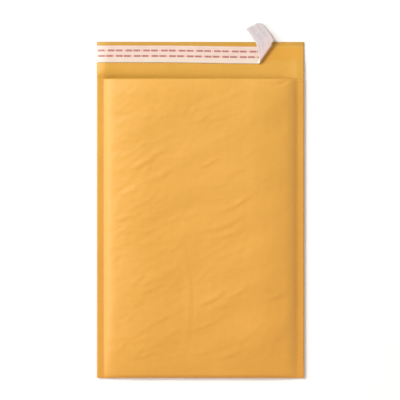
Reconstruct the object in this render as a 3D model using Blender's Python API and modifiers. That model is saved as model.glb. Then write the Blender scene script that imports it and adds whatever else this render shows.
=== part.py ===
"""Padded envelope: a kraft paper web with a bubble lining, an adhesive strip and a peeled release liner.

The envelope lies on its back. Metres, X across, +Y towards the flap, +Z up, origin at the middle of the back face.
"""

from math import cos, pi, radians, sin, sqrt, tan

import bmesh
import bpy
from mathutils import Vector

# Driving dimensions
WIDTH = 0.1842  # 7.25 in, across the side seams
LENGTH = 0.2990  # bottom fold to the flap's edge, laid flat
FLAP = 0.0328  # the flap's depth beyond the mouth
SEAM = 0.0065  # the sealed margin down each side
PAPER = 0.0002  # kraft paper
GAP = 0.0003  # clearance between neighbouring pieces
CROWN = 0.0112  # thickness over the middle of the padding

# Edges of the envelope
SIDE = WIDTH / 2
TOP = LENGTH / 2
BOTTOM = -LENGTH / 2
MOUTH = TOP - FLAP
SEAM_EDGE = SIDE - SEAM
LINING_MOUTH = MOUTH - 0.0030  # the lining stops this far inside the mouth

# Seams and bottom fold
SEAM_LIFT = 0.0015  # the back curls up this far to reach a side seam
SEAM_STACK = 0.0015  # both papers and the film edge between them
FOLD_HEIGHT = 0.0027  # height of the bottom fold's crease, mid-width
FRONT_NOSE = 0.0036  # run of the front's curve into the bottom fold
BACK_NOSE = 0.0036  # run of the back's curve into the bottom fold
BACK_SHOULDER = 0.0220  # run of the back's curve into a side seam

# The front's swell: steep beside a side seam, then gentle, and lower towards the bottom fold and the lip
STEEP_RUN = 0.0084
GENTLE_RUN = 0.0420
STEEP_SHARE = 0.34
BOTTOM_RUN = 0.0600
BOTTOM_SHARE = 0.36
LIP_RUN = 0.0160
LIP_DROP = 0.0023

# The flap springs up from its crease at the mouth, more at the left
FLAP_RUN = 0.0105
FLAP_RISE_LEFT = 0.0030
FLAP_RISE_RIGHT = 0.0007

# The lining's pocket
WALL = 0.0020  # least depth of padding over and under the pocket
POCKET_GAP = 0.0062  # the pocket's clear height in the middle
POCKET_MOUTH_GAP = 0.0052  # the pocket's clear height at the mouth
POCKET_EDGE_GAP = 0.0008
POCKET_SIDE = 0.0800  # half the pocket's width
POCKET_END = BOTTOM + 0.0130
POCKET_OVERRUN = 0.0040  # the cutter runs out past the lining
POCKET_CURVE = 0.0250  # the pocket narrows to its edges over this run

# Adhesive strip and release liner on the flap
TAPE_TOP = TOP - 0.0033  # the liner's top edge
LINER_WIDTH = 0.0151
LINER_FILM = 0.0002
GLUE_WIDTH = 0.0127
GLUE_FILM = 0.0002
GLUE_END_MARGIN = 0.0015
LINER_SAG = 0.0010  # the liner's right end sits this much lower

# The liner's peeled end: it rolls over a line across the strip, then runs off over the flap's edge
CREASE_X = 0.0500  # where the line meets the strip's lower edge
CREASE_ANGLE = radians(54.6)
CURL_RADIUS = 0.0018
CURL_TURNS = (0.2, 0.4, 0.6, 0.8, 0.94)  # stations round the curl, in half turns
TAIL_LEFT = ((0.0504, 0.1450), (0.0478, 0.1508), (0.0405, 0.1611))
TAIL_RIGHT = ((0.0650, 0.1512), (0.0616, 0.1575), (0.0551, 0.1658))
TAIL_LIFT = (0.0, -0.0010, -0.0026)  # each tail station, above or below the curl's top

# Mesh density
COLUMNS = 24
FLAP_ROWS = 8
BOTTOM_ROWS = 6
BODY_ROWS = 8
LIP_ROWS = 4
NOSE_ROWS = 6
POCKET_COLUMNS = 16
POCKET_ROWS = 16
GLUE_ROWS = 2
STRIP_ROWS = 10
LINER_COLUMNS = 4
SHARP_ANGLE = radians(40)  # edges sharper than this are shaded as creases


def clear_scene():
    for existing in list(bpy.data.objects):
        bpy.data.objects.remove(existing, do_unlink=True)


def make_collection(name):
    collection = bpy.data.collections.new(name)
    bpy.context.scene.collection.children.link(collection)
    return collection


def make_material(name, colour, roughness):
    material = bpy.data.materials.new(name)
    material.use_nodes = True
    shader = material.node_tree.nodes["Principled BSDF"]
    shader.inputs["Base Color"].default_value = (*colour, 1.0)
    shader.inputs["Roughness"].default_value = roughness
    shader.inputs["Metallic"].default_value = 0.0
    return material


def ease(t):
    """Smooth step from 0 to 1 with level ends."""
    t = min(max(t, 0.0), 1.0)
    return t * t * (3.0 - 2.0 * t)


def arch(t, power=2):
    """Curve from 0 to 1, steepest at the start and level at the end."""
    return 1.0 - (1.0 - min(max(t, 0.0), 1.0)) ** power


def seam_share(x):
    """How much of its swell the front has at a distance from the side seams."""
    inside = SEAM_EDGE - abs(x)
    return STEEP_SHARE * arch(inside / STEEP_RUN) + (1.0 - STEEP_SHARE) * arch(inside / GENTLE_RUN)


def nose(distance, run):
    """Quarter ellipse at the bottom fold: 0 and upright at the fold, 1 and level past the run."""
    remaining = 1.0 - min(max(distance / run, 0.0), 1.0)
    return sqrt(1.0 - remaining * remaining)


def fold_height(x):
    """Height of the bottom fold's crease."""
    seam_height = SEAM_LIFT + SEAM_STACK / 2
    return seam_height + (FOLD_HEIGHT - seam_height) * seam_share(x)


def back_height(x, y):
    """Outer face of the back panel and the flap, without the curve into the bottom fold."""
    fade = 1.0 - ease((y - MOUTH) / FLAP)
    seam_lift = SEAM_LIFT * (1.0 - arch((SEAM_EDGE - abs(x)) / BACK_SHOULDER, 3)) * fade
    from_right = (1.0 - x / SIDE) / 2
    rise = FLAP_RISE_RIGHT + (FLAP_RISE_LEFT - FLAP_RISE_RIGHT) * from_right**2
    return seam_lift + rise * arch((y - MOUTH) / FLAP_RUN)


def front_height(x, y):
    """Outer face of the front panel, without the curve into the bottom fold."""
    seam_height = SEAM_LIFT + SEAM_STACK
    swell = BOTTOM_SHARE + (1.0 - BOTTOM_SHARE) * arch((y - BOTTOM) / BOTTOM_RUN)
    lip = LIP_DROP * (1.0 - arch((MOUTH - y) / LIP_RUN))
    return seam_height + ((CROWN - seam_height) * swell - lip) * seam_share(x)


def inset_height(surface, x, y, depth):
    """A surface's height moved inwards by a depth measured square to it."""
    step = 0.0005
    slope_x = (surface(x + step, y) - surface(x - step, y)) / (2 * step)
    slope_y = (surface(x, y + step) - surface(x, y - step)) / (2 * step)
    return surface(x, y) + depth * sqrt(1.0 + slope_x**2 + slope_y**2)


def back_shell(x, y, depth=0.0):
    """Back panel's height with its nose, at a depth inside the outer face."""
    full = inset_height(back_height, x, y, depth)
    crease = fold_height(x)
    return crease - (crease - full) * nose(y - BOTTOM - depth, BACK_NOSE - depth)


def front_shell(x, y, depth=0.0):
    """Front panel's height with its nose, at a depth inside the outer face."""
    full = inset_height(front_height, x, y, -depth)
    crease = fold_height(x)
    return crease + (full - crease) * nose(y - BOTTOM - depth, FRONT_NOSE - depth)


def column_positions(half_width, count):
    """Places across the width, closer together near the sides."""
    return [half_width * sin(pi / 2 * (2 * i / count - 1)) for i in range(count + 1)]


def seam_columns():
    """Places across the envelope, with one on each seam's inner edge."""
    inner = column_positions(SEAM_EDGE, COLUMNS - 2)
    return [-SIDE, *inner, SIDE]


def spaced(start, end, count):
    return [start + (end - start) * i / count for i in range(count + 1)]


def nose_rows(run, inset=0.0):
    """Rows through a nose, from the fold outwards, evenly spaced in angle."""
    angles = [pi / 2 * i / NOSE_ROWS for i in range(NOSE_ROWS + 1)]
    return [BOTTOM + inset + (run - inset) * (1.0 - cos(angle)) for angle in angles]


def body_rows(run):
    """Rows from the end of a nose to the lining's mouth, closer together near both ends."""
    swell_end = BOTTOM + BOTTOM_RUN
    lip_start = MOUTH - LIP_RUN
    return [
        *spaced(BOTTOM + run, swell_end, BOTTOM_ROWS),
        *spaced(swell_end, lip_start, BODY_ROWS)[1:],
        *spaced(lip_start, LINING_MOUTH, LIP_ROWS)[1:],
    ]


def grid_mesh(name, columns, rows, place):
    """A quad sheet of columns by rows, with each vertex put where place(column, row) says."""
    sheet = bmesh.new()
    bmesh.ops.create_grid(sheet, x_segments=columns - 1, y_segments=rows - 1, size=1.0)
    for vertex in sheet.verts:
        column = round((vertex.co.x + 1.0) / 2.0 * (columns - 1))
        row = round((vertex.co.y + 1.0) / 2.0 * (rows - 1))
        vertex.co = place(column, row)
    mesh = bpy.data.meshes.new(name)
    sheet.to_mesh(mesh)
    sheet.free()
    return mesh


def lens_mesh(name, across, along, top, bottom):
    """A closed body between a lower and an upper surface over a grid of places."""
    body = bmesh.new()
    bmesh.ops.create_grid(body, x_segments=len(across) - 1, y_segments=len(along) - 1, size=1.0)
    lower = list(body.verts)
    raised = bmesh.ops.extrude_face_region(body, geom=body.faces[:])["geom"]
    upper = [item for item in raised if isinstance(item, bmesh.types.BMVert)]
    for vertices, surface in ((lower, bottom), (upper, top)):
        for vertex in vertices:
            x = across[round((vertex.co.x + 1.0) / 2.0 * (len(across) - 1))]
            y = along[round((vertex.co.y + 1.0) / 2.0 * (len(along) - 1))]
            vertex.co = (x, y, surface(x, y))
    bmesh.ops.recalc_face_normals(body, faces=body.faces[:])
    mesh = bpy.data.meshes.new(name)
    body.to_mesh(mesh)
    body.free()
    return mesh


def add_object(name, mesh, collection, material=None):
    item = bpy.data.objects.new(name, mesh)
    collection.objects.link(item)
    if material:
        mesh.materials.append(material)
        mesh.shade_smooth()
        mesh.set_sharp_from_angle(angle=SHARP_ANGLE)
    return item


def solidify(item, thickness, offset):
    shell = item.modifiers.new("thickness", "SOLIDIFY")
    shell.thickness = thickness
    shell.offset = offset


def make_kraft_paper(collection):
    """One web: flap, back panel, bottom fold, front panel up to the lip of the mouth."""
    across = seam_columns()
    back_rows = [
        *reversed(spaced(MOUTH, TOP, FLAP_ROWS)),
        *reversed(body_rows(BACK_NOSE)[1:]),
        *reversed(nose_rows(BACK_NOSE)),
    ]
    front_rows = [
        *nose_rows(FRONT_NOSE)[1:],
        *body_rows(FRONT_NOSE)[1:],
        MOUTH,
    ]
    path = [(y, back_shell) for y in back_rows] + [(y, front_shell) for y in front_rows]

    def place(column, row):
        y, shell = path[row]
        x = across[column]
        return (x, y, shell(x, y))

    mesh = grid_mesh("kraft_paper", len(across), len(path), place)
    material = make_material("kraft", (0.72, 0.45, 0.20), 0.75)
    item = add_object("kraft_paper", mesh, collection, material)
    solidify(item, PAPER, -1.0)
    return item


def pocket_gap(x, y):
    """Clear height of the pocket, which narrows towards its sides and its closed end."""
    towards_mouth = 1.0 - arch((MOUTH - y) / LIP_RUN)
    middle = POCKET_GAP + (POCKET_MOUTH_GAP - POCKET_GAP) * towards_mouth
    fullness = arch((POCKET_SIDE - abs(x)) / POCKET_CURVE, 3) * arch((y - POCKET_END) / POCKET_CURVE, 3)
    padding = front_height(x, y) - back_height(x, y)
    return min(POCKET_EDGE_GAP + (middle - POCKET_EDGE_GAP) * fullness, padding - 2 * WALL)


def pocket_middle(x, y):
    """The pocket lies midway between the front and the back."""
    return (front_height(x, y) + back_height(x, y)) / 2


def make_bubble_lining(collection, cutters):
    """Film web folded into a pocket: padding over the inside, pressed flat where the side seams hold it."""
    depth = PAPER + GAP
    across = seam_columns()
    edge = SIDE - GAP
    across[0], across[-1] = -edge, edge
    along = [*nose_rows(FRONT_NOSE, depth)[1:], *body_rows(FRONT_NOSE)[1:]]
    mesh = lens_mesh(
        "bubble_lining",
        across,
        along,
        lambda x, y: front_shell(x, y, depth),
        lambda x, y: back_shell(x, y, depth),
    )
    material = make_material("bubble_film", (0.86, 0.88, 0.90), 0.25)
    lining = add_object("bubble_lining", mesh, collection, material)

    pocket = lens_mesh(
        "pocket_cutter",
        column_positions(POCKET_SIDE, POCKET_COLUMNS),
        spaced(POCKET_END, LINING_MOUTH + POCKET_OVERRUN, POCKET_ROWS),
        lambda x, y: pocket_middle(x, min(y, MOUTH)) + pocket_gap(x, min(y, MOUTH)) / 2,
        lambda x, y: pocket_middle(x, min(y, MOUTH)) - pocket_gap(x, min(y, MOUTH)) / 2,
    )
    cutter = add_object("pocket_cutter", pocket, cutters)
    cutter.hide_render = True
    cutter.display_type = "WIRE"
    cut = lining.modifiers.new("pocket", "BOOLEAN")
    cut.operation = "DIFFERENCE"
    cut.object = cutter
    return lining


def flap_surface(x, y, height):
    """A point at a height above the flap's inner face."""
    return (x, y, inset_height(back_height, x, y, PAPER + height))


def make_adhesive_strip(collection):
    """Thin band of hot-melt adhesive along the flap's inner face."""
    edge = SIDE - GLUE_END_MARGIN
    columns = spaced(-edge, edge, COLUMNS)
    margin = (LINER_WIDTH - GLUE_WIDTH) / 2
    rows = spaced(TAPE_TOP - margin - GLUE_WIDTH, TAPE_TOP - margin, GLUE_ROWS)
    mesh = grid_mesh(
        "adhesive_strip",
        len(columns),
        len(rows),
        lambda column, row: flap_surface(columns[column], rows[row], GAP),
    )
    material = make_material("adhesive", (0.80, 0.58, 0.26), 0.2)
    strip = add_object("adhesive_strip", mesh, collection, material)
    solidify(strip, GLUE_FILM, 1.0)
    return strip


def liner_stations():
    """The liner's lower and upper edge points, from its left end to the tip of its peeled tail."""
    height = 2 * GAP + GLUE_FILM
    crease_head_x = CREASE_X + LINER_WIDTH / tan(CREASE_ANGLE)
    stations = []
    for share in spaced(0.0, 1.0, STRIP_ROWS):
        sag = LINER_SAG * ease(share)
        foot_x = -SIDE + (CREASE_X + SIDE) * share
        head_x = -SIDE + (crease_head_x + SIDE) * share
        foot = flap_surface(foot_x, TAPE_TOP - LINER_WIDTH - sag, height)
        head = flap_surface(head_x, TAPE_TOP - sag, height)
        stations.append((Vector(foot), Vector(head)))

    flat_foot, flat_head = stations[-1]
    line = Vector((cos(CREASE_ANGLE), sin(CREASE_ANGLE), 0.0))
    onward = Vector((sin(CREASE_ANGLE), -cos(CREASE_ANGLE), 0.0))
    for turn in CURL_TURNS:
        angle = pi * turn
        shift = onward * CURL_RADIUS * sin(angle) + Vector((0, 0, CURL_RADIUS * (1.0 - cos(angle))))
        shift += line * CURL_RADIUS * angle / tan(CREASE_ANGLE)
        stations.append((flat_foot + shift, flat_head + shift))

    top = flat_foot.z + 2 * CURL_RADIUS
    for left, right, lift in zip(TAIL_LEFT, TAIL_RIGHT, TAIL_LIFT):
        stations.append((Vector((*left, top + lift)), Vector((*right, top + lift))))
    return stations


def make_release_liner(collection):
    """Coated strip over the adhesive, its right end peeled, rolled back and running off over the flap's edge."""
    stations = liner_stations()
    mesh = grid_mesh(
        "release_liner",
        len(stations),
        LINER_COLUMNS + 1,
        lambda column, row: stations[column][0].lerp(stations[column][1], row / LINER_COLUMNS),
    )
    material = make_material("liner_film", (0.93, 0.80, 0.74), 0.35)
    liner = add_object("release_liner", mesh, collection, material)
    solidify(liner, LINER_FILM, 1.0)
    return liner


def main():
    clear_scene()
    parts = make_collection("padded_envelope")
    cutters = make_collection("cutters")
    make_kraft_paper(parts)
    make_bubble_lining(parts, cutters)
    make_adhesive_strip(parts)
    make_release_liner(parts)


main()
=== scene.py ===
"""Looks of the padded envelope: crinkled kraft paper, bubble film, hot-melt band and a peeled release liner.

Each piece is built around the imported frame, in metres: X across, +Y towards the flap, +Z up.
"""

from math import cos, pi, radians, sin, tan

import bpy
import numpy as np
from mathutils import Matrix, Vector


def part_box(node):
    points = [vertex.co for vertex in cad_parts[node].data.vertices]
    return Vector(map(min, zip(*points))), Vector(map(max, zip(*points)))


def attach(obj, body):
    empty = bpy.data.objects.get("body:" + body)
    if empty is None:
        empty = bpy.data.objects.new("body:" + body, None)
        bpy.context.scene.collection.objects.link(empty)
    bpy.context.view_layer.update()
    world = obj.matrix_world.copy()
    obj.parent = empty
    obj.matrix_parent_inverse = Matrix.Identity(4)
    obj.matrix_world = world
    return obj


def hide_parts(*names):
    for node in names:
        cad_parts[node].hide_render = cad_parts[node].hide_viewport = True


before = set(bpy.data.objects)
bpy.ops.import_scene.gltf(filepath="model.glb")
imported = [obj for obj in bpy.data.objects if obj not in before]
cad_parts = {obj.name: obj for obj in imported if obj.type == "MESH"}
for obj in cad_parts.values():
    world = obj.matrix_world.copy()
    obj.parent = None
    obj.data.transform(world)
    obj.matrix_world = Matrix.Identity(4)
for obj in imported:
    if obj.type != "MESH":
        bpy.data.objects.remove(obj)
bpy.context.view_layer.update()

# The envelope's edges, from the frame
paper_low, paper_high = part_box("kraft_paper")
glue_low, glue_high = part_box("adhesive_strip")
SIDE = paper_high.x
TOP = paper_high.y
BOTTOM = paper_low.y
CROWN = paper_high.z
LINING_SETBACK = 0.003
LINING_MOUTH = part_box("bubble_lining")[1].y
MOUTH = LINING_MOUTH + LINING_SETBACK
SEAM = 0.0065
SEAM_EDGE = SIDE - SEAM

# Thicknesses and heights
PAPER = 0.0002
FILM = 0.0004
CLEARANCE = 0.00006
SEAM_LIFT = 0.0015
SEAM_STACK = 0.0007
RELIEF_ROOM = 0.0006  # left under the crown for the creases to rise into
LIP_DROP = 0.0023
FOLD_HEIGHT = 0.0027
FLAP_RISE_LEFT = 0.0030
FLAP_RISE_RIGHT = 0.0004
FLAP_DROOP = 0.0027

# Runs of the curves into the seams, the bottom fold and the mouth
STEEP_RUN = 0.0120
GENTLE_RUN = 0.0420
STEEP_SHARE = 0.34
BACK_RUN = 0.0220
FRONT_NOSE = 0.0036
BACK_NOSE = 0.0036
BOTTOM_RUN = 0.0600
BOTTOM_SHARE = 0.36
LIP_RUN = 0.0160
FLAP_RUN = 0.0105
FLAP_START = 0.003
DROOP_RUN = 0.0120
QUICK = 3.0  # power of an arch that gains most of its height early

# Sums of waves: height, seed, count, shortest and longest wave, heading and spread in radians
BROAD_WAVES = (0.00022, 3, 12, 0.022, 0.060, radians(117), 0.35)
FINE_WAVES = (0.00004, 5, 16, 0.007, 0.016, radians(110), 0.7)
PUCKER_WAVES = (0.00006, 11, 6, 0.010, 0.022, radians(90), 0.18)
FLAP_WAVES = (0.00022, 17, 8, 0.030, 0.090, radians(10), 0.5)
GLUE_EDGE_WAVES = (0.00022, 23, 8, 0.006, 0.03, 0.0, 0.2)
GLUE_WAVES = (0.00003, 29, 10, 0.002, 0.006, radians(80), 0.6)
LINER_WAVES = (0.00008, 31, 8, 0.012, 0.05, 0.0, 0.5)

# Distances over which the front's relief fades out towards the seams and the bottom fold
SCATTER_FADE = 0.014
SCATTER_POWER = 1.5
CHOSEN_FADE = 0.005
FOLD_FADE = 0.012
PUCKER_START = 0.004
PUCKER_END = 0.026

# Chosen creases in the front: place, length, heading in degrees, width and depth in millimetres
CREASES = (
    (-0.0610, 0.0510, 0.022, 27, 2.2, 0.22),
    (-0.0490, 0.0430, 0.026, 32, 2.8, 0.26),
    (-0.0630, 0.0160, 0.024, 14, 2.4, 0.22),
    (-0.0350, 0.0310, 0.028, 26, 2.8, 0.26),
    (0.0070, 0.0410, 0.014, 24, 1.6, 0.34),
    (0.0290, 0.0040, 0.030, 26, 2.6, 0.30),
    (0.0220, -0.0130, 0.030, 22, 2.8, 0.30),
    (0.0250, -0.0220, 0.022, 20, 2.2, 0.26),
    (0.0100, -0.0790, 0.026, 28, 2.6, 0.28),
    (0.0330, -0.0740, 0.018, 26, 2.2, 0.26),
    (0.0050, -0.1020, 0.030, 24, 2.6, 0.26),
    (0.0690, -0.0770, 0.016, 16, 2.0, 0.26),
    (0.0250, -0.1290, 0.020, 18, 2.0, 0.24),
    (-0.0490, -0.1290, 0.020, 18, 2.0, 0.24),
    (-0.0130, -0.0780, 0.080, 91, 2.6, 0.15),
    (0.0730, 0.1125, 0.019, 20, 1.7, -0.55),
)

# Scattered creases: ranges of length, of width and of depth, and a heading with its spread, in the same units
CREASE_SEED = 7
CREASE_FIRST_Y = BOTTOM + 0.02
CREASE_LAST_Y = MOUTH - 0.01
LARGE_CREASES = 170
LARGE_REACH = 0.9
LARGE_RANGES = ((0.008, 0.026), (26, 13), (1.2, 2.8), (0.05, 0.16))
RIGHT_START = 0.02
RIGHT_STRENGTH = 0.75
SMALL_CREASES = 170
SMALL_PLACES = (0.030, 0.082)
SMALL_RANGES = ((0.005, 0.014), (18, 16), (1.3, 2.6), (0.05, 0.13))

# Section of one crease
CREASE_GAIN = 2.15
CREASE_STEP = 0.9
CREASE_RIDGE = 0.35
CREASE_BEND = 0.06
CREASE_BEND_TURN = 3.0
CREASE_TAPER = 2.0
MILLIMETRE = 0.001

# Density of the paper's mesh
PAPER_COLUMNS = 142
EVEN_COLUMNS = 0.75
FLAP_ROWS = 24
BACK_ROWS = 60
BACK_FOLD_ROWS = 8
FRONT_FOLD_ROWS = 14
FRONT_ROWS = 186

# Bubble film
BUBBLE_PITCH = 0.0110
BUBBLE_RADIUS = 0.0049
BUBBLE_BULGE = 0.0004
BULGE_RUN = 0.006
POCKET_SIDE = 0.0800
WALL = 0.0020
POCKET_GAP = 0.0062
POCKET_MOUTH_GAP = 0.0052
POCKET_EDGE_GAP = 0.0008
LEAST_GAP = 0.00002
POCKET_CURVE = 0.0250
POCKET_END = BOTTOM + 0.0130
LINING_END = BOTTOM + 0.0020
PRESSED_MARGIN = SEAM + 0.0025
PRESSED_FILM = 0.00005
LINING_COLUMNS = 104
LINING_OUTER_ROWS = 157
LINING_INNER_ROWS = 150

# Widths over which the paper's tints by place fade, most of them painted shade, and the strength of the
# painted shade on the lower panel
EDGE_BLEND = 0.0004
MARGIN_BLEND = 0.0006
FOLD_BLEND = 0.0010
FOLD_SHADE_DEPTH = 0.0022
LOWER_SHADE = 0.7
FAR = 1.0  # past every edge

# Adhesive
GLUE_COLUMNS = 150
GLUE_ROWS = 13
GLUE_FILM = 0.00005
GLUE_RISE = 0.00004
GLUE_RISE_RUN = 0.0025
GLUE_SINK = 0.00008
GLUE_SINK_RUN = 0.0008
GLUE_EDGE_SPAN = 0.02
RIPPLE_SHARE = 0.5

# Liner: stuck length, curl and tail
LINER_WIDTH = 0.0151
LINER_FILM = 0.00012
LINER_TOP = TOP - 0.0033
LINER_LIFT = 0.0004
LINER_SAG = 0.0010
LINER_SAG_START = 0.35
LINER_ROWS = 15
STUCK_STATIONS = 90
LEVELLED_STATIONS = 86
CREASE_ANGLE = radians(54.6)
CREASE_X = 0.0500
CURL_RADIUS = 0.0018
CURL_END = 0.94 * pi
CURL_STATIONS = 15
TAIL_LEFT = ((0.0504, 0.1450), (0.0478, 0.1508), (0.0405, 0.1611))
TAIL_RIGHT = ((0.0650, 0.1512), (0.0616, 0.1575), (0.0551, 0.1658))
TAIL_LIFT = (0.0, -0.0010, -0.0026)
TAIL_STATIONS = 31
TAIL_CORNER = 0.0021
TAIL_CORNER_AT = 0.78
CORNER_SHARES = (0.2, 0.4, 0.6, 0.8, 1.0)

# Marks on the liner, along the strip and across it
MARK_PITCH = 0.01576
MARK_HEIGHT = 0.0017
MARK_BLOCK = 0.00118
MARK_CUT = 0.00009
MARK_EDGE = 0.0001
LONG_BAR = (0.0003, 0.0064)
SHORT_BAR = (0.0073, 0.0134)
DOT = (0.0143, 0.0149)
DOT_HALF = 0.0004
UPPER_ROW = (0.0094, 0.0107)  # start along the strip, middle across it
LOWER_ROW = (0.0010, 0.0058)
RULES = (0.0131, 0.0028)
RULE_HALF = 0.0003
RULE_EDGE = 0.0002

# Lights: name, place, power and colour
LIGHT_SIZE = 1.20
LIGHTS = (
    ("key", (-1.92, 1.60, 2.40), 76.0, (1.0, 1.0, 1.0)),
    ("side", (-2.20, 0.15, 1.32), 30.0, (1.0, 1.0, 1.0)),
    ("fill", (2.25, -0.45, 1.20), 15.0, (1.0, 0.72, 0.45)),
)
SKY_STRENGTH = 0.375
FLOOR_HALF = 4.0
FLOOR_DROP = 0.0001

# Camera: straight down, framing this much of the floor
VIEW_WIDTH = 0.3562
VIEW_CENTRE = (-0.0004, 0.0088)
CAMERA_HEIGHT = 2.5
CAMERA_REACH = 20.0
SENSOR = 36.0


# ---------------------------------------------------------------- curves


def ease(t):
    t = np.clip(t, 0.0, 1.0)
    return t * t * (3.0 - 2.0 * t)


def arch(t, power=2.0):
    """0 to 1 over t from 0 to 1, steepest at the start and level at the end."""
    return 1.0 - (1.0 - np.clip(t, 0.0, 1.0)) ** power


def nose(distance, run):
    """Quarter ellipse: upright at 0, level past the run."""
    remaining = 1.0 - np.clip(distance / run, 0.0, 1.0)
    return np.sqrt(1.0 - remaining**2)


def waves(x, y, height, seed, count, shortest, longest, heading, spread):
    """Smooth undulation: a sum of plane waves whose directions lie around a heading."""
    rng = np.random.default_rng(seed)
    total = np.zeros(np.broadcast(x, y).shape)
    for _ in range(count):
        length = shortest * (longest / shortest) ** rng.random()
        angle = heading + rng.normal(0.0, spread)
        phase = rng.random() * 2 * pi
        total += np.sin(2 * pi * (x * cos(angle) + y * sin(angle)) / length + phase)
    return height * (total / count**0.5)


def smooth_path(points, share):
    """Catmull-Rom curve through points, share from 0 to 1."""
    points = [np.array(p, float) for p in points]
    ends = [2 * points[0] - points[1], *points, 2 * points[-1] - points[-2]]
    spans = len(points) - 1
    i = min(int(share * spans), spans - 1)
    t = share * spans - i
    a, b, c, d = ends[i : i + 4]
    square = (2 * a - 5 * b + 4 * c - d) * t**2
    cube = (3 * b - a - 3 * c + d) * t**3
    return 0.5 * (2 * b + (c - a) * t + square + cube)


# ---------------------------------------------------------------- meshes and pieces


def vertex_grid(rows, columns, first=0):
    return first + np.arange(rows * columns).reshape(rows, columns)


def skin(grid, flip=False):
    """Quads over a grid of vertex numbers."""
    quads = np.stack([grid[:-1, :-1], grid[:-1, 1:], grid[1:, 1:], grid[1:, :-1]], axis=-1).reshape(-1, 4)
    return quads[:, ::-1] if flip else quads


def band(first, second, flip):
    """Quads that join two rows of vertex numbers."""
    quads = np.stack([first[:-1], first[1:], second[1:], second[:-1]], axis=-1)
    return quads[:, ::-1] if flip else quads


def sheet_mesh(name, points, uvs=None):
    """A quad sheet from an array of points, rows by columns by 3, with optional UVs, rows by columns by 2."""
    mesh = bpy.data.meshes.new(name)
    quads = skin(vertex_grid(*points.shape[:2]))
    mesh.from_pydata(points.reshape(-1, 3).tolist(), [], quads.tolist())
    if uvs is not None:
        layer = mesh.uv_layers.new(name="strip")
        loops = np.empty(len(mesh.loops), int)
        mesh.loops.foreach_get("vertex_index", loops)
        layer.data.foreach_set("uv", uvs.reshape(-1, 2)[loops].ravel())
    mesh.shade_smooth()
    return mesh


def add_piece(name, mesh, materials, node):
    """Puts a mesh in the scene as the piece that stands for a CAD node."""
    piece = bpy.data.objects.new(name, mesh)
    bpy.context.scene.collection.objects.link(piece)
    for material in materials:
        mesh.materials.append(material)
    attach(piece, "root")
    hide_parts(node)
    return piece


def solidify(piece, thickness, offset, back_material=False):
    shell = piece.modifiers.new("thickness", "SOLIDIFY")
    shell.thickness = thickness
    shell.offset = offset
    shell.use_even_offset = True
    if back_material:
        shell.material_offset = 1


# ---------------------------------------------------------------- shape of the paper


def seam_share(x):
    """The front's rise from its seams: steep at first, then a gentle crown."""
    inside = SEAM_EDGE - np.abs(x)
    return STEEP_SHARE * arch(inside / STEEP_RUN, QUICK) + (1.0 - STEEP_SHARE) * arch(inside / GENTLE_RUN)


def fold_height(x):
    seam_height = SEAM_LIFT + SEAM_STACK / 2
    return seam_height + (FOLD_HEIGHT - seam_height) * seam_share(x)


def back_height(x, y):
    """Back panel and flap: the flap springs up from its crease at the mouth, more at the left."""
    past_mouth = y - MOUTH
    fade = 1.0 - ease(past_mouth / (TOP - MOUTH))
    seam_lift = SEAM_LIFT * (1.0 - arch((SEAM_EDGE - np.abs(x)) / BACK_RUN, QUICK)) * fade
    from_right = np.clip((1.0 - x / SIDE) / 2, 0.0, 1.0)
    spring = FLAP_RISE_RIGHT + (FLAP_RISE_LEFT - FLAP_RISE_RIGHT) * from_right**2
    droop = FLAP_DROOP * (1.0 - arch((SIDE + x) / DROOP_RUN)) * ease(past_mouth / FLAP_RUN)
    return seam_lift + spring * arch(past_mouth / FLAP_RUN) * ease(past_mouth / FLAP_START) - droop


def front_height(x, y):
    """Front panel: crowned, low towards the bottom fold, with a drop at its lip."""
    seam_height = SEAM_LIFT + SEAM_STACK
    swell = BOTTOM_SHARE + (1.0 - BOTTOM_SHARE) * arch((y - BOTTOM) / BOTTOM_RUN)
    lip = LIP_DROP * (1.0 - arch((MOUTH - y) / LIP_RUN))
    return seam_height + (CROWN - RELIEF_ROOM - seam_height) * seam_share(x) * swell - lip * seam_share(x)


def random_crease(rng, x, y, lengths, headings, widths, depths, strength=1.0):
    return (
        x,
        y,
        rng.uniform(*lengths),
        rng.normal(*headings),
        rng.uniform(*widths),
        strength * rng.uniform(*depths),
    )


def scattered_creases():
    """Shallow creases scattered round one heading, with more small ones at the left."""
    rng = np.random.default_rng(CREASE_SEED)
    made = []
    for _ in range(LARGE_CREASES):
        x = rng.uniform(-LARGE_REACH, LARGE_REACH) * SEAM_EDGE
        y = rng.uniform(CREASE_FIRST_Y, CREASE_LAST_Y)
        strength = 1.0 if x < RIGHT_START else RIGHT_STRENGTH
        made.append(random_crease(rng, x, y, *LARGE_RANGES, strength))
    for _ in range(SMALL_CREASES):
        x = -rng.uniform(*SMALL_PLACES)
        y = rng.uniform(CREASE_FIRST_Y, CREASE_LAST_Y)
        made.append(random_crease(rng, x, y, *SMALL_RANGES))
    return made


def crease_relief(x, y, creases):
    """Height of the creases: each is a soft step, high on one side and low on the other."""
    relief = np.zeros(np.broadcast(x, y).shape)
    for centre_x, centre_y, length, heading, width, depth in creases:
        angle = radians(heading)
        along = (x - centre_x) * cos(angle) + (y - centre_y) * sin(angle)
        across = -(x - centre_x) * sin(angle) + (y - centre_y) * cos(angle)
        across = across + CREASE_BEND * length * np.cos(CREASE_BEND_TURN * along / length)
        taper = np.exp(-((CREASE_TAPER * along / length) ** 2))
        u = across / (width * MILLIMETRE)
        height = CREASE_GAIN * depth * MILLIMETRE
        relief += height * (CREASE_STEP * u + CREASE_RIDGE) * np.exp(-u * u) * taper
    return relief


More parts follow.
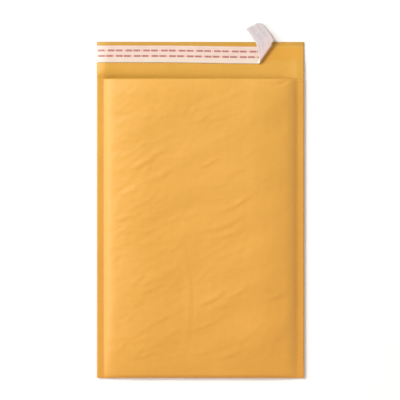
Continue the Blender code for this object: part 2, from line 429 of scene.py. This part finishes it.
def front_relief(x, y):
    """Everything that breaks the front's smooth form: creases, broad dents and puckers along the seams."""
    inside = SEAM_EDGE - np.abs(x)
    from_fold = np.clip((y - BOTTOM) / FOLD_FADE, 0.0, 1.0)
    calm = ease(inside / SCATTER_FADE) ** SCATTER_POWER * ease(from_fold)
    chosen = crease_relief(x, y, CREASES) * ease(inside / CHOSEN_FADE) * ease(from_fold)
    scattered = crease_relief(x, y, scattered_creases())
    dents = waves(x, y, *BROAD_WAVES) + waves(x, y, *FINE_WAVES)
    near_seam = ease(inside / PUCKER_START) * (1.0 - ease(inside / PUCKER_END))
    puckers = near_seam * from_fold * waves(x, y, *PUCKER_WAVES)
    return chosen + calm * (scattered + dents) + puckers


def flap_relief(x, y):
    """Slight waviness of the flap, none at its crease."""
    return ease((y - MOUTH) / (TOP - MOUTH)) * waves(x, y, *FLAP_WAVES)


def front_outer(x, y, depth=0.0):
    """The front's outer face with its nose, or a face at a depth inside it."""
    crease = fold_height(x)
    full = front_height(x, y) - depth
    surface = crease + (full - crease) * nose(y - BOTTOM - depth, FRONT_NOSE - depth)
    return surface + front_relief(x, y)


def back_outer(x, y, depth=0.0):
    """The back's outer face with its nose, or a face at a depth inside it."""
    crease = fold_height(x)
    full = back_height(x, y) + depth
    return crease - (crease - full) * nose(y - BOTTOM - depth, BACK_NOSE - depth) + flap_relief(x, y)


def side_columns():
    """Places across the width, closer together towards the seams."""
    even = np.linspace(-1.0, 1.0, PAPER_COLUMNS)
    return SIDE * (EVEN_COLUMNS * even + (1.0 - EVEN_COLUMNS) * np.sin(pi / 2 * even))


def nose_rows(run, count):
    return BOTTOM + run * (1.0 - np.cos(np.linspace(0.0, pi / 2, count)))


def make_paper(material):
    """The whole web as one sheet: flap, back, bottom fold, front, with a thickness."""
    columns = side_columns()
    y_back = np.concatenate(
        [
            np.linspace(TOP, MOUTH, FLAP_ROWS),
            np.linspace(MOUTH, BOTTOM + BACK_NOSE, BACK_ROWS)[1:],
            nose_rows(BACK_NOSE, BACK_FOLD_ROWS)[::-1][1:],
        ]
    )
    y_front = np.concatenate(
        [
            nose_rows(FRONT_NOSE, FRONT_FOLD_ROWS)[1:],
            np.linspace(BOTTOM + FRONT_NOSE, MOUTH, FRONT_ROWS)[1:],
        ]
    )
    x_b, y_b = np.meshgrid(columns, y_back)
    x_f, y_f = np.meshgrid(columns, y_front)
    back = np.stack([x_b, y_b, back_outer(x_b, y_b)], axis=-1)
    front = np.stack([x_f, y_f, front_outer(x_f, y_f)], axis=-1)
    mesh = sheet_mesh("kraft_web", np.concatenate([back, front]))
    piece = add_piece("kraft_web", mesh, [material], "kraft_paper")
    solidify(piece, PAPER, -1.0)


# ---------------------------------------------------------------- bubble lining


def bubbles(x, y):
    """Domes of height 1 on a staggered lattice, 0 between them."""
    row_pitch = BUBBLE_PITCH * 3**0.5 / 2
    nearest_row = np.round(y / row_pitch)
    best = np.full(np.broadcast(x, y).shape, np.inf)
    for step in (-1, 0, 1):
        row = nearest_row + step
        shift = np.where(row % 2 == 0, 0.0, BUBBLE_PITCH / 2)
        column = np.round((x - shift) / BUBBLE_PITCH)
        distance = np.hypot(x - shift - column * BUBBLE_PITCH, y - row * row_pitch)
        best = np.minimum(best, distance)
    return np.sqrt(np.clip(1.0 - (best / BUBBLE_RADIUS) ** 2, 0.0, 1.0))


def pocket_walls(x, y):
    """Lower and upper height of the pocket's smooth inner film, before the bubbles' bulge."""
    towards_mouth = 1.0 - arch((MOUTH - y) / LIP_RUN)
    middle_gap = POCKET_GAP + (POCKET_MOUTH_GAP - POCKET_GAP) * towards_mouth
    from_side = arch((POCKET_SIDE - np.abs(x)) / POCKET_CURVE, QUICK)
    from_end = arch((y - POCKET_END) / POCKET_CURVE, QUICK)
    gap = POCKET_EDGE_GAP + (middle_gap - POCKET_EDGE_GAP) * from_side * from_end
    padding = front_height(x, y) - back_height(x, y)
    gap = np.clip(np.minimum(gap, padding - 2 * WALL), FILM / 2, None)
    middle = (front_height(x, y) + back_height(x, y)) / 2
    return middle - gap / 2, middle + gap / 2


def inner_films(x, y, depth):
    """Upper and lower film that face the pocket, each swelling a little under its bubbles."""
    low, high = pocket_walls(x, y)
    held = np.clip((POCKET_SIDE - np.abs(x)) / BULGE_RUN, 0.0, 1.0)
    bulge = BUBBLE_BULGE * bubbles(x, y) * held
    high = np.minimum(high - bulge, front_outer(x, y, depth) - FILM)
    low = np.minimum(low + bulge, high - LEAST_GAP)
    return high, low


def outer_films(x, y, depth):
    """Upper and lower film that face the paper: domes that reach it, and flat where the seams press."""
    low, high = pocket_walls(x, y)
    limit_high = front_outer(x, y, depth)
    limit_low = back_outer(x, y, depth)
    high = np.minimum(high + FILM, limit_high)
    low = np.minimum(np.maximum(low - FILM, limit_low), high - PRESSED_FILM)
    pressed = SIDE - np.abs(x) < PRESSED_MARGIN
    dome = np.where(pressed, 0.0, bubbles(x, y))
    high = np.where(pressed, low + PRESSED_FILM, high)
    top = high + np.maximum(limit_high - high, 0.0) * dome
    bottom = low - np.maximum(low - limit_low, 0.0) * dome
    return top, bottom


def make_lining(material):
    """Two walls of bubble film, joined at the sides and the closed end, open at the mouth."""
    depth = PAPER + CLEARANCE
    reach = SIDE - CLEARANCE
    outer_x, outer_y = np.meshgrid(
        np.linspace(-reach, reach, LINING_COLUMNS), np.linspace(LINING_END, LINING_MOUTH, LINING_OUTER_ROWS)
    )
    inner_x, inner_y = np.meshgrid(
        np.linspace(-POCKET_SIDE, POCKET_SIDE, LINING_COLUMNS),
        np.linspace(POCKET_END, LINING_MOUTH, LINING_INNER_ROWS),
    )
    sheets = [np.stack([outer_x, outer_y, z], -1) for z in outer_films(outer_x, outer_y, depth)]
    sheets += [np.stack([inner_x, inner_y, z], -1) for z in inner_films(inner_x, inner_y, depth)]

    grids = []
    first = 0
    for sheet in sheets:
        grids.append(vertex_grid(*sheet.shape[:2], first))
        first += sheet.shape[0] * sheet.shape[1]
    outer_top, outer_bottom, inner_top, inner_bottom = grids

    faces = [skin(outer_top), skin(outer_bottom, True), skin(inner_top, True), skin(inner_bottom)]
    faces += [band(outer_top[0], outer_bottom[0], True), band(inner_top[0], inner_bottom[0], False)]
    for column, flip in ((0, False), (-1, True)):
        faces.append(band(outer_top[:, column], outer_bottom[:, column], flip))
        faces.append(band(inner_top[:, column], inner_bottom[:, column], not flip))
    faces += [band(outer_top[-1], inner_top[-1], False), band(inner_bottom[-1], outer_bottom[-1], False)]
    mouth_ring = (outer_top, inner_top, inner_bottom, outer_bottom)
    for column, flip in ((0, True), (-1, False)):
        corners = np.array([[grid[-1, column] for grid in mouth_ring]])
        faces.append(corners[:, ::-1] if flip else corners)

    vertices = np.concatenate([sheet.reshape(-1, 3) for sheet in sheets])
    mesh = bpy.data.meshes.new("bubble_film")
    mesh.from_pydata(vertices.tolist(), [], np.concatenate(faces).tolist())
    mesh.shade_smooth()
    piece = add_piece("bubble_film", mesh, [material], "bubble_lining")


# ---------------------------------------------------------------- flap: adhesive and liner


def flap_top(x, y):
    """The flap's inner face."""
    return back_outer(x, y) + PAPER


def make_adhesive(material):
    """Hot-melt band with a slightly uneven edge and surface, thinning away at its rim."""
    columns = np.linspace(glue_low.x, glue_high.x, GLUE_COLUMNS)
    x, share = np.meshgrid(columns, np.linspace(-1.0, 1.0, GLUE_ROWS))
    middle = (glue_low.y + glue_high.y) / 2
    half = (glue_high.y - glue_low.y) / 2
    y = middle + share * half + waves(x, share * GLUE_EDGE_SPAN, *GLUE_EDGE_WAVES) * share
    to_end = np.minimum(x - glue_low.x, glue_high.x - x)
    to_edge = np.minimum(half * (1.0 - np.abs(share)), to_end)
    rise = (GLUE_RISE + RIPPLE_SHARE * waves(x, y, *GLUE_WAVES)) * ease(to_edge / GLUE_RISE_RUN)
    sink = GLUE_SINK * (1.0 - ease(to_edge / GLUE_SINK_RUN))
    mesh = sheet_mesh("hot_melt_band", np.stack([x, y, flap_top(x, y) + rise - sink], -1))
    piece = add_piece("hot_melt_band", mesh, [material], "adhesive_strip")
    solidify(piece, GLUE_FILM, -1.0)


def stuck_stations():
    """The stuck length's lower and upper edge points, with their distances along the strip."""
    lower_y = LINER_TOP - LINER_WIDTH
    crease_head_x = CREASE_X + LINER_WIDTH / tan(CREASE_ANGLE)
    stations = []
    for share in np.linspace(0.0, 1.0, STUCK_STATIONS):
        sag = LINER_SAG * float(ease((share - LINER_SAG_START) / (1.0 - LINER_SAG_START)))
        foot_x = -SIDE + (CREASE_X + SIDE) * share
        head_x = -SIDE + (crease_head_x + SIDE) * share
        foot = Vector((foot_x, lower_y - sag, float(flap_top(foot_x, lower_y)) + LINER_LIFT))
        head = Vector((head_x, LINER_TOP - sag, float(flap_top(head_x, LINER_TOP)) + LINER_LIFT))
        stations.append((foot, head, foot_x + SIDE, head_x + SIDE))
    return stations


def curl_stations(foot, head, foot_run, head_run):
    """The roll over the crease, which runs on from the last stuck station."""
    line = Vector((cos(CREASE_ANGLE), sin(CREASE_ANGLE), 0.0))
    onward = Vector((sin(CREASE_ANGLE), -cos(CREASE_ANGLE), 0.0))
    stations = []
    for angle in np.linspace(0.0, CURL_END, CURL_STATIONS)[1:]:
        shift = onward * CURL_RADIUS * sin(angle) + Vector((0, 0, CURL_RADIUS * (1 - cos(angle))))
        shift += line * CURL_RADIUS * angle / tan(CREASE_ANGLE)
        run = CURL_RADIUS * angle / sin(CREASE_ANGLE)
        stations.append((foot + shift, head + shift, foot_run + run, head_run + run))
    return stations


def tail_stations(foot, head, foot_run, head_run):
    """The loose tail, which runs on from the end of the curl over the flap's edge."""
    lefts = [foot] + [(*p, foot.z + lift) for p, lift in zip(TAIL_LEFT, TAIL_LIFT)]
    rights = [head] + [(*p, head.z + lift) for p, lift in zip(TAIL_RIGHT, TAIL_LIFT)]
    stations = []
    for share in np.linspace(0.0, 1.0, TAIL_STATIONS)[1:]:
        left = Vector(smooth_path(lefts, share))
        right = Vector(smooth_path(rights, share))
        foot_run += (left - foot).length
        head_run += (right - head).length
        stations.append((left, right, foot_run, head_run))
        foot, head = left, right
    return stations


def make_liner(materials):
    """Release liner with its right end rolled back over the flap's edge."""
    stations = stuck_stations()
    stations += curl_stations(*stations[-1])
    stations += tail_stations(*stations[-1])
    across = np.linspace(0.0, 1.0, LINER_ROWS)
    points = np.empty((len(across), len(stations), 3))
    uvs = np.empty((len(across), len(stations), 2))
    for j, (foot, head, foot_run, head_run) in enumerate(stations):
        for i, share in enumerate(across):
            points[i, j] = foot.lerp(head, float(share))
            uvs[i, j] = (foot_run + (head_run - foot_run) * share, share * LINER_WIDTH)

    cornered = len(CORNER_SHARES)
    onward = points[:, -1] - points[:, -1 - cornered]
    onward /= np.linalg.norm(onward, axis=-1, keepdims=True)
    corner = np.interp(across, (0.0, TAIL_CORNER_AT, 1.0), (0.0, TAIL_CORNER, 0.0))
    for step, share in enumerate(CORNER_SHARES):
        points[:, step - cornered] += share * corner[:, None] * onward

    levelled = np.arange(len(stations)) < LEVELLED_STATIONS
    level = flap_top(points[..., 0], points[..., 1]) + LINER_LIFT
    points[..., 2] = np.where(levelled, np.maximum(points[..., 2], level), points[..., 2])
    points[..., 2] += waves(points[..., 0], points[..., 1], *LINER_WAVES)
    mesh = sheet_mesh("peeled_liner", points, uvs)
    piece = add_piece("peeled_liner", mesh, materials, "release_liner")
    solidify(piece, LINER_FILM, 1.0, back_material=True)


# ---------------------------------------------------------------- material nodes


def new_material(name, **inputs):
    """A Principled material; inputs set the shader's own sockets, with _ for a space."""
    material = bpy.data.materials.new(name)
    material.use_nodes = True
    tree = material.node_tree
    shader = tree.nodes["Principled BSDF"]
    for key, value in inputs.items():
        shader.inputs[key.replace("_", " ")].default_value = value
    return material, tree, shader


def add_node(tree, kind, settings=None, **inputs):
    """Adds a node; inputs that are sockets are linked and others set."""
    node = tree.nodes.new(kind)
    for key, value in (settings or {}).items():
        setattr(node, key, value)
    for key, value in inputs.items():
        socket = node.inputs[int(key[1:])] if key[0] == "i" and key[1:].isdigit() else node.inputs[key]
        if isinstance(value, bpy.types.NodeSocket):
            tree.links.new(value, socket)
        else:
            socket.default_value = value
    return node


def object_place(tree):
    return add_node(tree, "ShaderNodeTexCoord").outputs["Object"]


def strip_place(tree):
    """The liner's own coordinates: both together, then along the strip and across it."""
    strip = add_node(tree, "ShaderNodeUVMap", {"uv_map": "strip"}).outputs["UV"]
    split = add_node(tree, "ShaderNodeSeparateXYZ", None, Vector=strip)
    return strip, split.outputs["X"], split.outputs["Y"]


def maths(tree, operation, first, second=0.0, third=0.0):
    node = add_node(tree, "ShaderNodeMath", {"operation": operation}, i0=first, i1=second, i2=third)
    return node.outputs[0]


def map_range(tree, value, low, high, new_low=0.0, new_high=1.0):
    node = add_node(tree, "ShaderNodeMapRange", None, Value=value, i1=low, i2=high, i3=new_low, i4=new_high)
    return node.outputs["Result"]


def within(tree, value, low, high, soft):
    """1 where low < value < high, with soft edges."""
    up = map_range(tree, value, low - soft, low + soft)
    down = map_range(tree, value, high - soft, high + soft)
    return maths(tree, "SUBTRACT", up, down)


def noise(tree, vector, scale, detail=2.0, roughness=0.5):
    settings = {"Vector": vector, "Scale": scale, "Detail": detail, "Roughness": roughness}
    return add_node(tree, "ShaderNodeTexNoise", None, **settings).outputs["Fac"]


def stretched(tree, vector, scale, turn=0.0):
    node = add_node(tree, "ShaderNodeMapping", None, Vector=vector, Scale=scale, Rotation=(0.0, 0.0, turn))
    return node.outputs["Vector"]


def ramp(tree, factor, low, low_colour, high, high_colour):
    """One colour below low, another above high, and a blend between."""
    node = tree.nodes.new("ShaderNodeValToRGB")
    tree.links.new(factor, node.inputs["Fac"])
    stops = ((low, low_colour), (high, high_colour))
    for element, (place, colour) in zip(node.color_ramp.elements, stops):
        element.position = place
        element.color = (*colour, 1.0)
    return node.outputs["Color"]


def mix_colour(tree, factor, first, second, blend="MIX"):
    node = tree.nodes.new("ShaderNodeMix")
    node.data_type = "RGBA"
    node.blend_type = blend
    for key, value in ((0, factor), (6, first), (7, second)):
        if isinstance(value, bpy.types.NodeSocket):
            tree.links.new(value, node.inputs[key])
        elif key == 0:
            node.inputs[key].default_value = value
        else:
            node.inputs[key].default_value = (*value, 1.0)
    return node.outputs[2]


def tint(tree, factor, tone, colour):
    return mix_colour(tree, factor, tone, colour, "MULTIPLY")


def bump(tree, height, strength, distance, normal=None):
    node = add_node(tree, "ShaderNodeBump", None, Height=height, Strength=strength, Distance=distance)
    if normal:
        tree.links.new(normal, node.inputs["Normal"])
    return node.outputs["Normal"]


# ---------------------------------------------------------------- materials


def kraft_fibres(tree, place):
    """Two crossing lots of long fibres."""
    one = noise(tree, stretched(tree, place, (520.0, 90.0, 520.0), 0.5), 1.0, 3.0, 0.65)
    other = noise(tree, stretched(tree, place, (110.0, 600.0, 600.0), -0.35), 1.0, 3.0, 0.65)
    return maths(tree, "MULTIPLY_ADD", other, 0.5, maths(tree, "MULTIPLY", one, 0.5))


def kraft_zones(tree, place, tone):
    """Tints by place: painted shade on the lower panel, darker towards the bottom, in the bottom fold, on the
    pressed seams and on the flap; and a darker flap margin.
    """
    split = add_node(tree, "ShaderNodeSeparateXYZ", None, Vector=place)
    x, y = split.outputs["X"], split.outputs["Y"]
    # Painted shade: the panel grows darker and warmer towards the bottom fold.
    lower = maths(tree, "MULTIPLY", map_range(tree, y, MOUTH, BOTTOM), LOWER_SHADE)
    margin = within(tree, y, LINER_TOP, FAR, MARGIN_BLEND)
    # Painted shade along the bottom fold, where the front turns down to the back.
    fold = within(tree, y, -FAR, BOTTOM + FOLD_SHADE_DEPTH, FOLD_BLEND)
    flap = within(tree, y, MOUTH, FAR, EDGE_BLEND)
    # Painted shade on the pressed seams and on the flap, which lie low beside the padded panel.
    pressed = within(tree, maths(tree, "ABSOLUTE", x), SEAM_EDGE, FAR, EDGE_BLEND)
    seam_shade = maths(tree, "MULTIPLY", pressed, maths(tree, "SUBTRACT", 1.0, flap))
    tone = tint(tree, lower, tone, (1.0, 0.89, 0.775))
    tone = tint(tree, margin, tone, (0.85, 0.86, 0.82))
    tone = tint(tree, fold, tone, (1.0, 0.92, 0.84))
    tone = tint(tree, seam_shade, tone, (0.945, 0.905, 0.785))
    return tint(tree, flap, tone, (0.94, 0.955, 0.84))


def kraft_material():
    """Golden machine-glazed kraft: cloudy formation, long fibres, faint machine streaks and tiny flecks."""
    material, tree, shader = new_material(
        "kraft_paper_finish",
        Specular_IOR_Level=0.45,
        Coat_Weight=0.17,
        Coat_Roughness=0.36,
        Sheen_Weight=0.08,
        Sheen_Roughness=0.4,
    )
    place = object_place(tree)
    cloud = noise(tree, place, 26.0, 4.0, 0.6)
    tone = ramp(tree, cloud, 0.25, (0.742, 0.384, 0.057), 0.75, (0.792, 0.411, 0.066))
    fibres = kraft_fibres(tree, place)
    fibre_tone = ramp(tree, fibres, 0.38, (0.92, 0.90, 0.85), 0.62, (1.0, 1.0, 1.0))
    tone = tint(tree, 0.30, tone, fibre_tone)
    streak = noise(tree, stretched(tree, place, (420.0, 6.0, 6.0)), 1.0, 2.0)
    streak_tone = ramp(tree, streak, 0.35, (0.95, 0.93, 0.89), 0.65, (1.0, 1.0, 1.0))
    tone = tint(tree, 0.18, tone, streak_tone)
    fleck = noise(tree, stretched(tree, place, (900.0, 260.0, 900.0), 0.9), 1.0, 1.0)
    fleck_share = maths(tree, "MULTIPLY", maths(tree, "GREATER_THAN", fleck, 0.74), 0.16)
    tone = mix_colour(tree, fleck_share, tone, (0.42, 0.18, 0.03))
    # The tints by place paint shade on the lower panel, the bottom fold, the seams and the flap.
    tree.links.new(kraft_zones(tree, place, tone), shader.inputs["Base Color"])
    tree.links.new(map_range(tree, cloud, 0.3, 0.7, 0.50, 0.60), shader.inputs["Roughness"])
    cockle = bump(tree, noise(tree, place, 95.0, 3.0, 0.55), 0.22, 0.0006)
    tree.links.new(bump(tree, fibres, 0.25, 0.00012, cockle), shader.inputs["Normal"])
    return material


def film_material():
    """Hazy clear bubble film."""
    material, tree, shader = new_material(
        "bubble_film_finish", Roughness=0.22, Specular_IOR_Level=0.6, Alpha=0.62
    )
    place = object_place(tree)
    haze = noise(tree, place, 180.0, 3.0)
    tone = ramp(tree, haze, 0.3, (0.80, 0.83, 0.86), 0.7, (0.93, 0.94, 0.95))
    tree.links.new(tone, shader.inputs["Base Color"])
    drawn = noise(tree, stretched(tree, place, (60.0, 700.0, 60.0)), 1.0, 2.0)
    tree.links.new(bump(tree, drawn, 0.15, 0.0002), shader.inputs["Normal"])
    return material


def adhesive_material():
    """Clear amber hot-melt over kraft."""
    material, tree, shader = new_material("hot_melt_finish", Roughness=0.34, Specular_IOR_Level=0.4)
    place = object_place(tree)
    cloud = noise(tree, place, 70.0, 3.0)
    tone = ramp(tree, cloud, 0.3, (0.715, 0.350, 0.046), 0.7, (0.745, 0.370, 0.052))
    tree.links.new(tone, shader.inputs["Base Color"])
    ripple = noise(tree, stretched(tree, place, (300.0, 1200.0, 300.0)), 1.0, 2.0)
    tree.links.new(bump(tree, ripple, 0.12, 0.0002), shader.inputs["Normal"])
    return material


def mark_row(tree, along, across, start, middle):
    """A row of plain marks: two bars cut into small blocks, then a dot, repeated along the strip."""
    phase = maths(tree, "FLOORED_MODULO", maths(tree, "SUBTRACT", along, start), MARK_PITCH)
    bars = maths(
        tree, "ADD", within(tree, phase, *LONG_BAR, MARK_EDGE), within(tree, phase, *SHORT_BAR, MARK_EDGE)
    )
    in_block = maths(tree, "FLOORED_MODULO", phase, MARK_BLOCK)
    cut = within(tree, in_block, MARK_CUT, MARK_BLOCK - MARK_CUT, MARK_EDGE)
    bars = maths(tree, "MULTIPLY", bars, cut)
    bar_row = within(tree, across, middle - MARK_HEIGHT / 2, middle + MARK_HEIGHT / 2, MARK_EDGE)
    dot = within(tree, phase, *DOT, MARK_EDGE)
    dot_row = within(tree, across, middle - DOT_HALF, middle + DOT_HALF, MARK_EDGE)
    return maths(tree, "ADD", maths(tree, "MULTIPLY", bars, bar_row), maths(tree, "MULTIPLY", dot, dot_row))


def marks(tree, along, across, strength):
    """Both rows of marks."""
    upper = mark_row(tree, along, across, *UPPER_ROW)
    lower = mark_row(tree, along, across, *LOWER_ROW)
    return maths(tree, "MULTIPLY", maths(tree, "ADD", upper, lower), strength)


def crease_distance(tree, along, across):
    """Distance along the strip past the line where the liner starts to curl."""
    start = maths(tree, "MULTIPLY_ADD", across, 1.0 / tan(CREASE_ANGLE), CREASE_X + SIDE)
    return maths(tree, "SUBTRACT", along, start)


def liner_front_material():
    """Printed side of the liner: translucent film over amber glue, with two rows of reddish marks, and a
    painted highlight past the crease along the curl.
    """
    material, tree, shader = new_material(
        "liner_printed_finish", Roughness=0.38, Alpha=0.86, Specular_IOR_Level=0.45
    )
    strip, along, across = strip_place(tree)
    cloud = noise(tree, stretched(tree, strip, (60.0, 220.0, 1.0)), 1.0, 3.0)
    tone = ramp(tree, cloud, 0.3, (0.92, 0.70, 0.60), 0.7, (0.95, 0.75, 0.655))
    pale = maths(tree, "MULTIPLY", within(tree, across, -0.0020, 0.0042, 0.0009), 0.6)
    tone = mix_colour(tree, pale, tone, (0.96, 0.86, 0.72))
    for middle in RULES:
        rule = within(tree, across, middle - RULE_HALF, middle + RULE_HALF, RULE_EDGE)
        tone = mix_colour(tree, maths(tree, "MULTIPLY", rule, 0.25), tone, (0.60, 0.45, 0.40))
    tone = mix_colour(tree, marks(tree, along, across, 0.88), tone, (0.42, 0.055, 0.05))
    # Painted highlight: past the crease the printed face is pale cream without its marks, which makes the
    # bright line along the curl.
    curl_highlight = within(tree, crease_distance(tree, along, across), -EDGE_BLEND, FAR, EDGE_BLEND)
    tone = mix_colour(tree, curl_highlight, tone, (0.97, 0.92, 0.80))
    tree.links.new(tone, shader.inputs["Base Color"])
    tree.links.new(bump(tree, cloud, 0.10, 0.0002), shader.inputs["Normal"])
    return material


def liner_back_material():
    """Release-coated side: cool grey white, fine lines along the strip, marks showing faintly through."""
    material, tree, shader = new_material(
        "liner_back_finish", Roughness=0.30, Alpha=0.88, Specular_IOR_Level=0.5
    )
    strip, along, across = strip_place(tree)
    lines = noise(tree, stretched(tree, strip, (30.0, 900.0, 1.0)), 1.0, 2.0)
    tone = ramp(tree, lines, 0.3, (0.57, 0.52, 0.545), 0.7, (0.75, 0.69, 0.71))
    tone = mix_colour(tree, marks(tree, along, across, 0.30), tone, (0.55, 0.30, 0.33))
    near_crease = map_range(tree, crease_distance(tree, along, across), 0.020, 0.004)
    tone = mix_colour(tree, maths(tree, "MULTIPLY", near_crease, 0.8), tone, (0.94, 0.70, 0.62))
    tree.links.new(tone, shader.inputs["Base Color"])
    tree.links.new(bump(tree, lines, 0.12, 0.0002), shader.inputs["Normal"])
    return material


def floor_material():
    white = (1.0, 1.0, 1.0, 1.0)
    return new_material(
        "floor_finish",
        Base_Color=(0.97, 0.97, 0.97, 1.0),
        Roughness=0.9,
        Emission_Color=white,
        Emission_Strength=0.03,
    )[0]


# ---------------------------------------------------------------- stage


def add_area_light(name, place, power, colour):
    """A round light that shines at the envelope's middle."""
    data = bpy.data.lights.new(name, "AREA")
    data.shape = "DISK"
    data.size = LIGHT_SIZE
    data.energy = power
    data.color = colour
    light = bpy.data.objects.new(name, data)
    bpy.context.scene.collection.objects.link(light)
    light.location = place
    light.rotation_euler = (-Vector(place)).to_track_quat("-Z", "Y").to_euler()


def make_stage():
    """White floor, a key light from the upper left, two weaker ones and an even sky."""
    half = FLOOR_HALF
    corners = [(-half, -half, 0), (half, -half, 0), (half, half, 0), (-half, half, 0)]
    mesh = bpy.data.meshes.new("floor")
    mesh.from_pydata(corners, [], [(0, 1, 2, 3)])
    mesh.materials.append(floor_material())
    floor = bpy.data.objects.new("floor", mesh)
    floor.location.z = -FLOOR_DROP
    bpy.context.scene.collection.objects.link(floor)

    for light in LIGHTS:
        add_area_light(*light)
    world = bpy.data.worlds.new("sky")
    world.use_nodes = True
    background = world.node_tree.nodes["Background"]
    background.inputs["Color"].default_value = (1.0, 1.0, 1.0, 1.0)
    background.inputs["Strength"].default_value = SKY_STRENGTH
    bpy.context.scene.world = world
    bpy.context.scene.view_settings.view_transform = "Standard"


def make_camera():
    data = bpy.data.cameras.new("camera")
    data.sensor_width = SENSOR
    data.lens = SENSOR * CAMERA_HEIGHT / VIEW_WIDTH
    data.clip_end = CAMERA_REACH
    camera = bpy.data.objects.new("camera", data)
    camera.location = (*VIEW_CENTRE, CAMERA_HEIGHT)
    bpy.context.scene.collection.objects.link(camera)
    bpy.context.scene.camera = camera


make_camera()
make_stage()
make_paper(kraft_material())
make_lining(film_material())
make_adhesive(adhesive_material())
make_liner([liner_front_material(), liner_back_material()])
